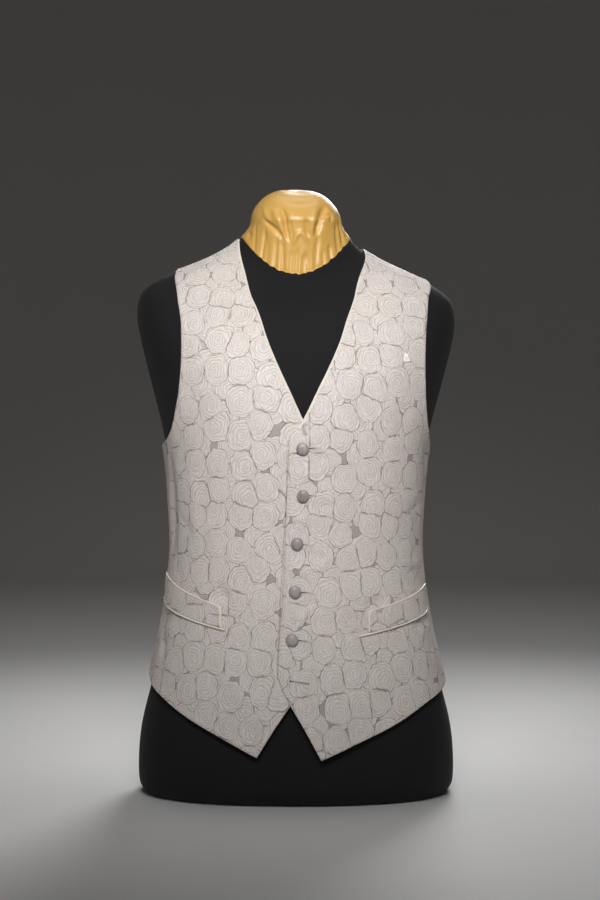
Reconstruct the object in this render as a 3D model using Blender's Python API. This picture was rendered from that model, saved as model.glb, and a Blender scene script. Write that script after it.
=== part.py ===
"""A formal waistcoat with a V neck, five fastened buttons and two welt pockets, on a limbless dress form.

Metres, +Z up. The front faces -Y and the wearer's left is at +X. The origin is the middle of the form's flat
underside.
"""

import math
from collections import namedtuple

import bmesh
import bpy
import numpy as np
from mathutils import Vector

# Driving dimensions
WALL = 0.0020  # brocade, canvas and lining together
SEAM_GAP = 0.0003
LAYER_GAP = 0.0004  # between the overlapping fronts
WELT_GAP = 0.0009  # between a front and its welt
BASE_RADIUS = 0.020  # rounded lower edge of the form
SHOULDER_STATION = 11.0  # ring above which the form's rings are closer together
NECK_STATION = 15.2  # ring where the form's neck piece starts
NECK_TOP_STATION = 17.0
ROLL = 0.035  # the worn garment sits higher on the wearer's right
BUTTON_STAND = 0.017  # each front passes the centre line by this
LIFT_FROM_TURN, LIFT_TO_TURN = 0.46, 0.26  # radians over which the over front steps out
BUTTON_RADIUS = 0.0076
BUTTON_HEIGHT = 0.0052
SIDE_SEAM_TURN = 101.0  # degrees round from the centre front
SHOULDER_SEAM_TURN = {1: 86.0, -1: 76.0}
SHOULDER_TILT = 0.026  # the form's right shoulder is the higher one
TILT_FROM_Z, TILT_TO_Z = 0.33, 0.60
VENT_TOP_Z = 0.186
VENT_OPENING_TURN = 1.6  # degrees that each edge stands back at the hem
WELT_THICKNESS = 0.0016
PIPING_RADIUS = 0.0009
PIPING_BESIDE = 0.0013  # from the welt's edge to the piping's centre line
PIPING_TAIL = {1: 0.12, -1: 0.05}  # share of the welt by which its lower piping runs on at the inner end

# The body at each level: heights at the side, front and back of the ring, its half width, its depth to the
# front and back, how squarish it is, and how far the cloth stands off it at the side, front and back.
Ring = namedtuple(
    "Ring",
    "name side_z front_z back_z half_width front back mid_y power ease_side ease_front ease_back",
)
RINGS = (
    Ring("base", 0.020, 0.020, 0.020, 0.1965, 0.120, 0.126, 0.000, 2.35, 0.0050, 0.0100, 0.0060),
    Ring("hip", 0.080, 0.080, 0.080, 0.1945, 0.121, 0.129, 0.000, 2.35, 0.0050, 0.0090, 0.0060),
    Ring("high hip", 0.140, 0.140, 0.140, 0.1785, 0.119, 0.121, 0.000, 2.35, 0.0062, 0.0075, 0.0060),
    Ring("flank", 0.195, 0.195, 0.195, 0.1660, 0.115, 0.109, 0.000, 2.35, 0.0060, 0.0065, 0.0060),
    Ring("low waist", 0.250, 0.250, 0.250, 0.1555, 0.112, 0.099, 0.000, 2.35, 0.0060, 0.0060, 0.0060),
    Ring("waist", 0.305, 0.305, 0.305, 0.1500, 0.110, 0.094, 0.000, 2.35, 0.0060, 0.0055, 0.0060),
    Ring("ribs", 0.365, 0.365, 0.365, 0.1535, 0.113, 0.099, 0.000, 2.35, 0.0055, 0.0050, 0.0055),
    Ring("armpit", 0.425, 0.425, 0.425, 0.1605, 0.117, 0.109, 0.000, 2.35, 0.0045, 0.0045, 0.0050),
    Ring("chest", 0.485, 0.480, 0.485, 0.1750, 0.118, 0.117, 0.002, 2.30, 0.0040, 0.0040, 0.0040),
    Ring("shoulder blade", 0.540, 0.522, 0.537, 0.1900, 0.112, 0.120, 0.005, 2.25, 0.0030, 0.0032, 0.0030),
    Ring("arm", 0.585, 0.554, 0.577, 0.2000, 0.102, 0.118, 0.008, 2.20, 0.0022, 0.0022, 0.0024),
    Ring("shoulder point", 0.614, 0.575, 0.604, 0.1965, 0.093, 0.112, 0.010, 2.15, 0.0018, 0.0016, 0.0020),
    Ring("outer shoulder", 0.632, 0.591, 0.627, 0.1770, 0.084, 0.104, 0.011, 2.10, 0.0015, 0.0012, 0.0018),
    Ring("shoulder", 0.647, 0.604, 0.650, 0.1450, 0.075, 0.093, 0.011, 2.05, 0.0013, 0.0012, 0.0014),
    Ring("inner shoulder", 0.664, 0.616, 0.672, 0.1060, 0.066, 0.079, 0.010, 2.00, 0.0013, 0.0012, 0.0012),
    Ring("neck base", 0.685, 0.632, 0.692, 0.0730, 0.057, 0.064, 0.006, 2.00, 0.0012, 0.0011, 0.0012),
    Ring("neck", 0.712, 0.672, 0.716, 0.0610, 0.052, 0.056, 0.001, 2.00, 0.0010, 0.0010, 0.0010),
    Ring("neck top", 0.744, 0.738, 0.746, 0.0580, 0.053, 0.051, -0.004, 2.00, 0.0010, 0.0010, 0.0010),
)
WAIST = 5  # the waist's row
NECK_DOME = 0.010  # rise of the neck's rounded top above its last ring
DOME_DRAW_IN = 0.8  # how far the rounded top closes, as a share of its half width
DOME_SHARES = (0.35, 0.65, 0.88)  # where its rings lie between its rim and its middle

# The worn front's centre line leans a little: its distance from the middle at each height.
Lean = namedtuple("Lean", "z x")
LEAN = (
    Lean(0.06, -0.0080),
    Lean(0.15, -0.0055),
    Lean(0.20, -0.0045),
    Lean(0.26, -0.0010),
    Lean(0.31, 0.0014),
    Lean(0.36, 0.0024),
    Lean(0.40, 0.0048),
    Lean(0.44, 0.0087),
    Lean(0.58, 0.0095),
    Lean(0.65, 0.0070),
)

# Edges of the half pattern, seen from the front (x from the centre line, z).
Edge = namedtuple("Edge", "x z")
CUTAWAY = (Edge(0.038, 0.0605), Edge(0.016, 0.0985), Edge(-0.006, 0.1330), Edge(-BUTTON_STAND, 0.1560))
CLOSING = (Edge(-BUTTON_STAND, 0.1560), Edge(-BUTTON_STAND, 0.4370))
NECKLINE = (
    Edge(-BUTTON_STAND, 0.4370),
    Edge(0.0000, 0.4604),
    Edge(0.0237, 0.5110),
    Edge(0.0415, 0.5510),
    Edge(0.0570, 0.5970),
    Edge(0.0680, 0.6350),
)
NECK_POINT_X = 0.0765
ARMHOLE = {
    1: (Edge(0.1545, 0.4440), Edge(0.1505, 0.4660), Edge(0.1475, 0.5000)),
    -1: (Edge(0.1620, 0.4380), Edge(0.1545, 0.4640), Edge(0.1485, 0.5000)),
}
ARMHOLE_UPPER = (Edge(0.1470, 0.5450), Edge(0.1495, 0.5850), Edge(0.1545, 0.6180))
ARMHOLE_LOW = {1: (87.0, 0.4245), -1: (87.0, 0.4235)}  # turn in degrees, z
SHOULDER_END_X = 0.1560
HEM = (
    Edge(0.0380, 0.0605),
    Edge(0.0830, 0.0825),
    Edge(0.1250, 0.1030),
    Edge(0.1555, 0.1222),
    Edge(0.1665, 0.1290),
)
SIDE_HEM_Z = 0.1510
HEM_BEFORE_SIDE = (80.0, 0.1455)  # turn in degrees, z
ARMPIT_Z = 0.4215
BACK_ARMHOLE = (
    Edge(0.1515, 0.4520),
    Edge(0.1435, 0.4850),
    Edge(0.1415, 0.5300),
    Edge(0.1425, 0.5750),
    Edge(0.1445, 0.6080),
)
Over = namedtuple("Over", "turn x")
BACK_ARMHOLE_TOP = (Over(112.0, 0.1480), Over(94.0, 0.1525))
BACK_NECK_STATION = 14.72
BACK_HEM_Z = 0.1500

# Soft folds pressed into the worn cloth: place, direction and size of each trough, and ridges as negative depth.
Fold = namedtuple("Fold", "turn z lean_turn length width depth")
FOLDS = (
    Fold(-78.0, 0.200, 5.0, 0.120, 0.016, 0.0040),
    Fold(76.0, 0.215, -6.0, 0.100, 0.016, 0.0034),
    Fold(-74.0, 0.415, 8.0, 0.110, 0.018, 0.0030),
    Fold(73.0, 0.400, -8.0, 0.100, 0.016, 0.0024),
    Fold(-146.0, 0.300, 10.0, 0.150, 0.020, 0.0030),
    Fold(150.0, 0.310, -8.0, 0.140, 0.020, 0.0028),
)

# Each worn welt's corners: its inner end by x, its outer end by the turn round the body.
Welt = namedtuple("Welt", "inner_x inner_low_z inner_high_z outer_turn outer_low_z outer_high_z")
WELTS = {
    1: Welt(0.0872, 0.2079, 0.2321, 73.0, 0.2312, 0.2587),
    -1: Welt(-0.0897, 0.2139, 0.2375, 76.0, 0.2410, 0.2725),
}

# The worn buttons, from the top.
Button = namedtuple("Button", "x z")
BUTTONS = (
    Button(0.0080, 0.4262),
    Button(0.0083, 0.3707),
    Button(0.0015, 0.3140),
    Button(-0.0009, 0.2573),
    Button(-0.0045, 0.2006),
)

Cloth = namedtuple("Cloth", "name colour roughness metallic")
BROCADE = Cloth("ivory_brocade", (0.72, 0.69, 0.66), 0.55, 0.0)
LINING = Cloth("ivory_satin", (0.76, 0.73, 0.67), 0.38, 0.0)
SILVER = Cloth("button_cloth", (0.42, 0.40, 0.40), 0.40, 0.0)
JERSEY = Cloth("black_jersey", (0.018, 0.018, 0.020), 0.85, 0.0)
GOLD = Cloth("gold_satin", (0.62, 0.40, 0.13), 0.35, 0.0)

# A covered button from its shank up over its rounded face, as shares of its radius and height
Turned = namedtuple("Turned", "radius height")
BUTTON_PROFILE = (
    Turned(0.00, 0.00),
    Turned(0.40, 0.00),
    Turned(0.40, 0.22),
    Turned(0.88, 0.26),
    Turned(1.00, 0.42),
    Turned(0.96, 0.62),
    Turned(0.78, 0.83),
    Turned(0.45, 0.96),
    Turned(0.00, 1.00),
)

# How finely the surfaces are faceted
FRONT_COLUMNS, BACK_SHOULDER_COLUMNS, BACK_NECK_COLUMNS = 15, 6, 8
CUTAWAY_ROWS, CLOSING_ROWS, NECKLINE_ROWS = 5, 15, 16
SIDE_ROWS, BACK_ROWS = 15, 32
BACK_TOP_REACH = 6.0  # the shoulder's shape shows only in the back's top rows
WELT_COLUMNS, WELT_ROWS = 9, 2
FORM_TURNS, BASE_STEPS = 40, 3
TORSO_STEPS, SHOULDER_STEPS, NECK_STEPS = 18, 15, 6
BUTTON_STEPS = 16

# First guesses for the places that are found step by step
RISE_PER_STATION, RUN_PER_STATION = 0.05, 0.06
RIDGE_GUESS_STATION = 13.5


def clear_scene():
    for obj in list(bpy.data.objects):
        bpy.data.objects.remove(obj)


def make_material(cloth):
    material = bpy.data.materials.new(cloth.name)
    material.use_nodes = True
    shader = material.node_tree.nodes["Principled BSDF"]
    shader.inputs["Base Color"].default_value = (*cloth.colour, 1.0)
    shader.inputs["Roughness"].default_value = cloth.roughness
    shader.inputs["Metallic"].default_value = cloth.metallic
    return material


def add_object(name, bm, material, smooth_angle=50.0):
    mesh = bpy.data.meshes.new(name)
    bmesh.ops.recalc_face_normals(bm, faces=bm.faces)
    if bm.calc_volume(signed=True) < 0:
        bmesh.ops.reverse_faces(bm, faces=bm.faces)
    bm.to_mesh(mesh)
    bm.free()
    mesh.materials.append(material)
    mesh.shade_smooth()
    mesh.set_sharp_from_angle(angle=math.radians(smooth_angle))
    obj = bpy.data.objects.new(name, mesh)
    bpy.context.scene.collection.objects.link(obj)
    return obj


def catmull_rom(rows, station):
    """Values between the rows of a table, on a smooth curve that passes through each row."""
    rows = np.asarray(rows, float)
    padded = np.vstack([2 * rows[0] - rows[1], rows, 2 * rows[-1] - rows[-2]])
    station = np.clip(np.asarray(station, float), 0, len(rows) - 1)
    first = np.minimum(station.astype(int), len(rows) - 2)
    t = (station - first)[..., None]
    a, b, c, d = (padded[first + k] for k in range(4))
    return b + 0.5 * t * (c - a + t * (2 * a - 5 * b + 4 * c - d + t * (3 * (b - c) + d - a)))


def smooth_step(t):
    t = np.clip(t, 0.0, 1.0)
    return t * t * (3 - 2 * t)


RING_TABLE = np.array([ring[1:] for ring in RINGS])


def ring_at(station):
    return Ring("between", *np.moveaxis(catmull_rom(RING_TABLE, station), -1, 0))


def form_surface(turn, station, inset=0.0):
    """Points of the dress form, by the turn round it from the centre front and the station up it."""
    ring = ring_at(station)
    half_width = ring.half_width - inset
    depth = np.where(np.cos(turn) > 0, ring.front, ring.back) - inset
    angle = np.arctan2(half_width * np.sin(turn), depth * np.cos(turn))
    across, along = np.abs(np.sin(angle)) / half_width, np.abs(np.cos(angle)) / depth
    radius = (across**ring.power + along**ring.power) ** (-1.0 / ring.power)
    x, y = radius * np.sin(angle), -radius * np.cos(angle)
    share = (y / depth) ** 2
    end_z = np.where(np.cos(turn) > 0, ring.front_z, ring.back_z)
    z = ring.side_z + (end_z - ring.side_z) * share
    tilt = SHOULDER_TILT * smooth_step((z - TILT_FROM_Z) / (TILT_TO_Z - TILT_FROM_Z))
    return np.stack([x, y + ring.mid_y, z - tilt * x], -1)


def form_normal(turn, station):
    step = 1e-3
    round_it = form_surface(turn + step, station) - form_surface(turn - step, station)
    up_it = form_surface(turn, station + step) - form_surface(turn, station - step)
    normal = np.cross(round_it, up_it)
    return normal / np.linalg.norm(normal, axis=-1, keepdims=True)


def fold_depth(turn, z):
    """How far the soft folds draw the cloth in at a place."""
    total = np.zeros_like(z)
    for fold in FOLDS:
        along = (z - fold.z) / (0.5 * fold.length)
        middle = np.radians(fold.turn + fold.lean_turn * along)
        beside = (turn - middle) * ring_at(WAIST).half_width / fold.width
        total = total + fold.depth * np.exp(-(beside**2)) * np.exp(-((along * 1.3) ** 4))
    return total


def overlap_lift(turn, side, z):
    """The over front, on the wearer's left, steps out where it lies on the under front."""
    if side < 0:
        return np.zeros_like(z)
    return (WALL + LAYER_GAP) * smooth_step((LIFT_FROM_TURN - turn) / (LIFT_FROM_TURN - LIFT_TO_TURN))


def cloth_surface(turn, station, side=0, out=0.0):
    """Points of the garment's inner face, or of a layer that lies further out."""
    turn, station = np.asarray(turn, float), np.asarray(station, float)
    ring = ring_at(station)
    body = form_surface(turn, station)
    share = np.cos(turn) ** 2
    end_ease = np.where(np.cos(turn) > 0, ring.ease_front, ring.ease_back)
    ease = ring.ease_side + (end_ease - ring.ease_side) * share
    drawn_in = np.minimum(fold_depth(turn, body[..., 2]), 0.8 * ease)
    lift = overlap_lift(turn, side, body[..., 2]) if side else 0.0
    offset = ease - drawn_in + lift + out
    return body + form_normal(turn, station) * offset[..., None]


def lean_at(z):
    return float(np.interp(z, [row.z for row in LEAN], [row.x for row in LEAN]))


def solve_station(target, guess, columns, side):
    """The (turn, station) whose cloth point has the wanted coordinates, by Newton's method."""
    at = np.array(guess, float)
    step = 1e-4
    for _ in range(30):
        here = cloth_surface(at[0], at[1], side)[list(columns)]
        slope_turn = (cloth_surface(at[0] + step, at[1], side)[list(columns)] - here) / step
        slope_station = (cloth_surface(at[0], at[1] + step, side)[list(columns)] - here) / step
        jacobian = np.stack([slope_turn, slope_station], -1)
        move = np.linalg.solve(jacobian, np.array(target) - here)
        at = at + np.clip(move, -0.25, 0.25)
        if np.abs(move).max() < 1e-7:
            break
    return at


def station_of_height(z):
    return float(np.interp(z, RING_TABLE[:, 0], np.arange(len(RINGS))))


def guessed_turn(x):
    return math.asin(max(-0.95, min(0.95, x / RINGS[WAIST].half_width)))


def on_body(side, x, z):
    """Place of a point of the worn garment seen from the front."""
    return solve_station((x, z), (guessed_turn(x), station_of_height(z)), (0, 2), side)


def on_front(side, x, z):
    """Place of a pattern point seen from the front."""
    x_worn = side * x + lean_at(z)
    return on_body(side, x_worn, z - ROLL * x_worn)


def on_back(side, x, z):
    """Place of a pattern point seen from behind."""
    x_worn = side * x + lean_at(z)
    z_worn = z - ROLL * x_worn
    turn = math.pi - guessed_turn(abs(x_worn))
    return solve_station((x_worn, z_worn), (side * turn, station_of_height(z_worn)), (0, 2), side)


def on_turn(side, degrees, z, roll=ROLL):
    """Place at a turn round the body and a height."""
    turn = side * math.radians(degrees)
    station = station_of_height(z)
    for _ in range(20):
        point = cloth_surface(turn, station, side)
        station -= (point[2] - (z - roll * point[0])) / RISE_PER_STATION
    return np.array([turn, station])


def on_ridge(side, degrees, x):
    """Place on the shoulder, at a turn round the body and a distance from the centre line."""
    turn = side * math.radians(degrees)
    station = RIDGE_GUESS_STATION
    for _ in range(40):
        point = cloth_surface(turn, station, side)
        station += (abs(point[0] - lean_at(point[2])) - x) / RUN_PER_STATION
    return np.array([turn, station])


def run_through(places, rows, side):
    """Even steps along a smooth curve through the places."""
    places = np.array(places)
    fine = np.linspace(0, len(places) - 1, 16 * (len(places) - 1) + 1)
    smooth = catmull_rom(places, fine) if len(places) > 2 else places[0] + fine[:, None] * (places[1] - places[0])
    points = cloth_surface(smooth[:, 0], smooth[:, 1], side)
    lengths = np.concatenate([[0], np.cumsum(np.linalg.norm(np.diff(points, axis=0), axis=1))])
    even = np.linspace(0, lengths[-1], rows + 1)
    return np.stack([np.interp(even, lengths, smooth[:, k]) for k in (0, 1)], -1)


def joined_runs(*runs):
    return np.vstack([runs[0]] + [run[1:] for run in runs[1:]])


def fill_patch(inner, outer, low, high, reach=1.0):
    """Rows and columns of places between four edges (a Coons patch); a longer reach keeps the top edge's
    shape near the top."""
    s = np.linspace(0, 1, len(low))[None, :, None]
    t = np.linspace(0, 1, len(inner))[:, None, None]
    between_sides = (1 - s) * inner[:, None] + s * outer[:, None]
    low_shape = low[None] - between_sides[:1]
    high_shape = high[None] - between_sides[-1:]
    return between_sides + (1 - t) * low_shape + t**reach * high_shape


def cloth_piece(name, outer_points, inner_points, material):
    """A closed wall between two grids of points, made from a flat grid that is extruded and put in place."""
    rows, columns = outer_points.shape[:2]
    bm = bmesh.new()
    bmesh.ops.create_grid(bm, x_segments=columns - 1, y_segments=rows - 1, size=0.5)
    extruded = bmesh.ops.extrude_face_region(bm, geom=bm.faces[:])
    inner_verts = [item for item in extruded["geom"] if isinstance(item, bmesh.types.BMVert)]
    bmesh.ops.translate(bm, verts=inner_verts, vec=(0.0, 0.0, -1.0))
    for vertex in bm.verts:
        column = round((vertex.co.x + 0.5) * (columns - 1))
        row = round((vertex.co.y + 0.5) * (rows - 1))
        points = inner_points if vertex.co.z < -0.5 else outer_points
        vertex.co = Vector(points[row, column])
    add_object(name, bm, material)


def seam_stepped(places, side, sense):
    """A seam's run of places, moved half a seam gap round the body, on (+1) towards the back or back (-1)."""
    step = 1e-4
    here = cloth_surface(places[:, 0], places[:, 1], 0)
    there = cloth_surface(places[:, 0] + step, places[:, 1], 0)
    metres_per_turn = np.linalg.norm(there - here, axis=1) / step
    moved = places.copy()
    moved[:, 0] += sense * side * 0.5 * SEAM_GAP / metres_per_turn
    return moved


def side_seam(side, sense):
    """From the hem to the armpit, standing back from the seam below the vent's top."""
    low = on_turn(side, SIDE_SEAM_TURN, SIDE_HEM_Z)
    vent = on_turn(side, SIDE_SEAM_TURN, VENT_TOP_Z)
    waist = on_turn(side, SIDE_SEAM_TURN, RINGS[WAIST].side_z)
    high = on_turn(side, SIDE_SEAM_TURN, ARMPIT_Z)
    run = run_through([low, vent, waist, high], SIDE_ROWS, side)
    opened = np.clip((vent[1] - run[:, 1]) / (vent[1] - low[1]), 0.0, 1.0)
    run[:, 0] += sense * side * math.radians(VENT_OPENING_TURN) * opened
    return seam_stepped(run, side, sense)


def shoulder_seam(side, sense, columns):
    degrees = SHOULDER_SEAM_TURN[side]
    neck_point = on_ridge(side, degrees, NECK_POINT_X)
    shoulder_end = on_ridge(side, degrees, SHOULDER_END_X)
    return seam_stepped(run_through([neck_point, shoulder_end], columns, side), side, sense)


def front_places(side):
    """The front's grid of places, from the closing edge to the side seam and from the hem to the shoulder."""
    cutaway = run_through([on_front(side, *edge) for edge in CUTAWAY], CUTAWAY_ROWS, side)
    closing = run_through([on_front(side, *edge) for edge in CLOSING], CLOSING_ROWS, side)
    shoulder = shoulder_seam(side, -1, FRONT_COLUMNS)
    neckline = run_through([on_front(side, *edge) for edge in NECKLINE] + [shoulder[0]], NECKLINE_ROWS, side)
    inner = joined_runs(cutaway, closing, neckline)
    seam = side_seam(side, -1)
    armhole_rows = len(inner) - 1 - SIDE_ROWS
    armhole_places = [seam[-1], on_turn(side, *ARMHOLE_LOW[side])]
    armhole_places += [on_front(side, *edge) for edge in ARMHOLE[side] + ARMHOLE_UPPER] + [shoulder[-1]]
    outer = joined_runs(seam, run_through(armhole_places, armhole_rows, side))
    hem_places = [on_front(side, *edge) for edge in HEM] + [on_turn(side, *HEM_BEFORE_SIDE), seam[0]]
    hem = run_through(hem_places, FRONT_COLUMNS, side)
    return fill_patch(inner, outer, hem, shoulder)


def back_places(side):
    """The back's grid of places, from the side seam to the centre back seam and from the hem to the shoulder."""
    shoulder = shoulder_seam(side, 1, BACK_SHOULDER_COLUMNS)
    seam = side_seam(side, 1)
    armhole_places = [seam[-1]] + [on_back(side, *edge) for edge in BACK_ARMHOLE]
    armhole_places += [on_ridge(side, *over) for over in BACK_ARMHOLE_TOP] + [shoulder[-1]]
    outer = joined_runs(seam, run_through(armhole_places, BACK_ROWS - SIDE_ROWS, side))
    centre_low = on_turn(side, 180.0, BACK_HEM_Z)
    centre_high = np.array([side * math.pi, BACK_NECK_STATION])
    centre = run_through([centre_low, centre_high], BACK_ROWS, side)
    centre = seam_stepped(centre, side, -1)
    columns = BACK_SHOULDER_COLUMNS + BACK_NECK_COLUMNS
    hem = run_through([seam[0], on_turn(side, 140.0, BACK_HEM_Z), centre[0]], columns, side)
    neck_middle = 0.5 * (shoulder[0] + centre[-1])
    neck = run_through([shoulder[0], neck_middle, centre[-1]], BACK_NECK_COLUMNS, side)
    high = joined_runs(shoulder[::-1], neck)
    return outer, centre, hem, high


def make_front(side, material):
    places = front_places(side)
    outer = cloth_surface(places[..., 0], places[..., 1], side, WALL)
    inner = cloth_surface(places[..., 0], places[..., 1], side)
    cloth_piece("front_left" if side > 0 else "front_right", outer, inner, material)


def make_back(side, material):
    outer_edge, centre, hem, high = back_places(side)
    places = fill_patch(outer_edge, centre, hem, high, BACK_TOP_REACH)
    outer = cloth_surface(places[..., 0], places[..., 1], side=0, out=WALL)
    inner = cloth_surface(places[..., 0], places[..., 1])
    cloth_piece("back_left" if side > 0 else "back_right", outer, inner, material)


def welt_places(side, rows, columns, start=0.0):
    """The pocket welt's grid of places, from its inner end to the side and from its lower to its upper edge."""
    welt = WELTS[side]
    low_in = on_body(side, welt.inner_x, welt.inner_low_z)
    low_out = on_turn(side, welt.outer_turn, welt.outer_low_z, 0.0)
    high_in = on_body(side, welt.inner_x, welt.inner_high_z)
    high_out = on_turn(side, welt.outer_turn, welt.outer_high_z, 0.0)
    s = np.linspace(start, 1, columns + 1)[None, :, None]
    t = np.linspace(0, 1, rows + 1)[:, None, None]
    return (1 - t) * ((1 - s) * low_in + s * low_out) + t * ((1 - s) * high_in + s * high_out)


def make_welt(side, material):
    places = welt_places(side, WELT_ROWS, WELT_COLUMNS)
    base = WALL + WELT_GAP
    outer = cloth_surface(places[..., 0], places[..., 1], side, base + WELT_THICKNESS)
    inner = cloth_surface(places[..., 0], places[..., 1], side, base)
    cloth_piece("welt_left" if side > 0 else "welt_right", outer, inner, material)


def add_tube(name, points, radius, material):
    """A round tube along a line of points, with closed ends."""
    curve = bpy.data.curves.new(name, "CURVE")
    curve.dimensions = "3D"
    curve.bevel_depth = radius
    curve.bevel_resolution = 1
    curve.use_fill_caps = True
    spline = curve.splines.new("POLY")
    spline.points.add(len(points) - 1)
    for spline_point, point in zip(spline.points, points):
        spline_point.co = (*point, 1.0)
    curve.materials.append(material)
    obj = bpy.data.objects.new(name, curve)
    bpy.context.scene.collection.objects.link(obj)


def moved_beside(points, directions, distance):
    return points + directions / np.linalg.norm(directions, axis=-1, keepdims=True) * distance


def make_piping(side, material):
    """Cord along the welt's upper edge and inner end, and a longer one along its lower edge."""
    out = WALL + WELT_GAP + PIPING_RADIUS
    places = welt_places(side, WELT_ROWS, 2 * WELT_COLUMNS)
    surface = cloth_surface(places[..., 0], places[..., 1], side, out)
    upward = surface[-1] - surface[0]
    inward = surface[:, 0] - surface[:, 1]
    top = moved_beside(surface[-1], upward, PIPING_BESIDE)
    end = moved_beside(surface[:, 0], inward, PIPING_BESIDE)
    places = welt_places(side, WELT_ROWS, 2 * WELT_COLUMNS, -PIPING_TAIL[side])
    surface = cloth_surface(places[..., 0], places[..., 1], side, out)
    bottom = moved_beside(surface[0], surface[0] - surface[-1], PIPING_BESIDE)
    corner = moved_beside(end[-1:], upward[:1], PIPING_BESIDE)
    upper = np.vstack([top[:0:-1], corner, end[-2::-1]])
    wearer_side = "left" if side > 0 else "right"
    add_tube(f"piping_upper_{wearer_side}", upper, PIPING_RADIUS, material)
    add_tube(f"piping_lower_{wearer_side}", bottom, PIPING_RADIUS, material)


def make_button(number, button, material):
    """A covered button turned about its own axis, which stands square to the over front."""
    turn, station = on_body(1, button.x, button.z)
    base = Vector(cloth_surface(turn, station, 1, WALL + SEAM_GAP))
    axis = Vector(cloth_surface(turn, station, 1, WALL + 2 * SEAM_GAP)) - base
    bm = bmesh.new()
    line = [bm.verts.new((row.radius * BUTTON_RADIUS, 0.0, row.height * BUTTON_HEIGHT)) for row in BUTTON_PROFILE]
    edges = [bm.edges.new(pair) for pair in zip(line, line[1:])]
    bmesh.ops.spin(
        bm,
        geom=line + edges,
        cent=(0.0, 0.0, 0.0),
        axis=(0.0, 0.0, 1.0),
        angle=2 * math.pi,
        steps=BUTTON_STEPS,
        use_merge=True,
    )
    bmesh.ops.remove_doubles(bm, verts=bm.verts, dist=1e-6)
    obj = add_object(f"button_{number + 1}", bm, material, 35.0)
    obj.location = base
    obj.rotation_euler = axis.to_track_quat("Z", "Y").to_euler()


def ring_points(station, inset=0.0, drop=0.0):
    turns = np.linspace(0, 2 * math.pi, FORM_TURNS, endpoint=False)
    return form_surface(turns, np.full_like(turns, station), inset) - np.array([0.0, 0.0, drop])


def solid_of_rings(name, rings, material):
    """A closed solid through rings of points, extruded ring by ring and capped at both ends."""
    bm = bmesh.new()
    bmesh.ops.create_circle(bm, segments=FORM_TURNS, radius=1.0)
    bm.verts.ensure_lookup_table()
    order = sorted(bm.verts, key=lambda vertex: math.atan2(vertex.co.x, -vertex.co.y) % (2 * math.pi))
    for vertex, point in zip(order, rings[0]):
        vertex.co = Vector(point)
    edges = bm.edges[:]
    loop = order
    for points in rings[1:]:
        made = bmesh.ops.extrude_edge_only(bm, edges=edges)["geom"]
        edges = [item for item in made if isinstance(item, bmesh.types.BMEdge)]
        fresh = {item for item in made if isinstance(item, bmesh.types.BMVert)}
        loop = [next(e.other_vert(v) for e in v.link_edges if e.other_vert(v) in fresh) for v in loop]
        edges = [e for e in edges if e.verts[0] in fresh and e.verts[1] in fresh]
        for vertex, point in zip(loop, points):
            vertex.co = Vector(point)
    caps = bmesh.ops.holes_fill(bm, edges=bm.edges, sides=0)["faces"]
    bmesh.ops.poke(bm, faces=[face for face in caps if len(face.verts) > 4])
    add_object(name, bm, material, 60.0)


def make_form(jersey, gold):
    """The torso on its flat rounded base, and the neck piece that stands on it."""
    torso_rings = []
    for step in range(BASE_STEPS):
        angle = 0.5 * math.pi * step / BASE_STEPS
        torso_rings.append(ring_points(0.0, BASE_RADIUS * (1 - math.sin(angle)), BASE_RADIUS * math.cos(angle)))
    low = np.linspace(0.0, SHOULDER_STATION, TORSO_STEPS + 1)
    high = np.linspace(SHOULDER_STATION, NECK_STATION, SHOULDER_STEPS + 1)
    torso_rings += [ring_points(station) for station in (*low, *high[1:])]
    solid_of_rings("form_torso", torso_rings, jersey)
    stations = np.linspace(NECK_STATION, NECK_TOP_STATION, NECK_STEPS + 1)
    neck_rings = [ring_points(station, drop=-SEAM_GAP) for station in stations]
    radius = RINGS[-1].half_width
    for share in DOME_SHARES:
        inset = radius * (1 - math.cos(0.5 * math.pi * share)) * DOME_DRAW_IN
        neck_rings.append(ring_points(NECK_TOP_STATION, inset, -NECK_DOME * math.sin(0.5 * math.pi * share)))
    solid_of_rings("form_neck", neck_rings, gold)


def main():
    clear_scene()
    brocade, lining, silver, jersey, gold = map(make_material, (BROCADE, LINING, SILVER, JERSEY, GOLD))
    make_form(jersey, gold)
    for side in (1, -1):
        make_front(side, brocade)
        make_back(side, lining)
        make_welt(side, brocade)
        make_piping(side, lining)
    for number, button in enumerate(BUTTONS):
        make_button(number, button, silver)


main()
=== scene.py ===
import bpy
import bmesh
import math
import random
import numpy as np
from mathutils import Matrix, Vector
from mathutils.bvhtree import BVHTree
from mathutils.kdtree import KDTree


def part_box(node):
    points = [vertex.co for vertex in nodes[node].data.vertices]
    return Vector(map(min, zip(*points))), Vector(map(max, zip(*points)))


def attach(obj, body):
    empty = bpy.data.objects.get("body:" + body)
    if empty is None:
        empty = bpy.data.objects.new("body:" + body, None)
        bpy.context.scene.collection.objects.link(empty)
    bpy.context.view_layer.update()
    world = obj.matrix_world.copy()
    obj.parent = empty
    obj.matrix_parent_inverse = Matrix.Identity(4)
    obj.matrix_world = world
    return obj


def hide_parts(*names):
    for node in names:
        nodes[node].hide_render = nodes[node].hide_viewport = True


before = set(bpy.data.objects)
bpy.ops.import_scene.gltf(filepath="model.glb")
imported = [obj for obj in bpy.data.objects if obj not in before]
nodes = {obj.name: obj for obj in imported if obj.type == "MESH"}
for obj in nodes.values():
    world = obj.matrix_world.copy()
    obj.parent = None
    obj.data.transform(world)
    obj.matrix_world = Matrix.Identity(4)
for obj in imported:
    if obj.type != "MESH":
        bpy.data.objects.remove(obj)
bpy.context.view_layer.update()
random.seed(11)
print("frame loaded:", len(nodes), "nodes")


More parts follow.
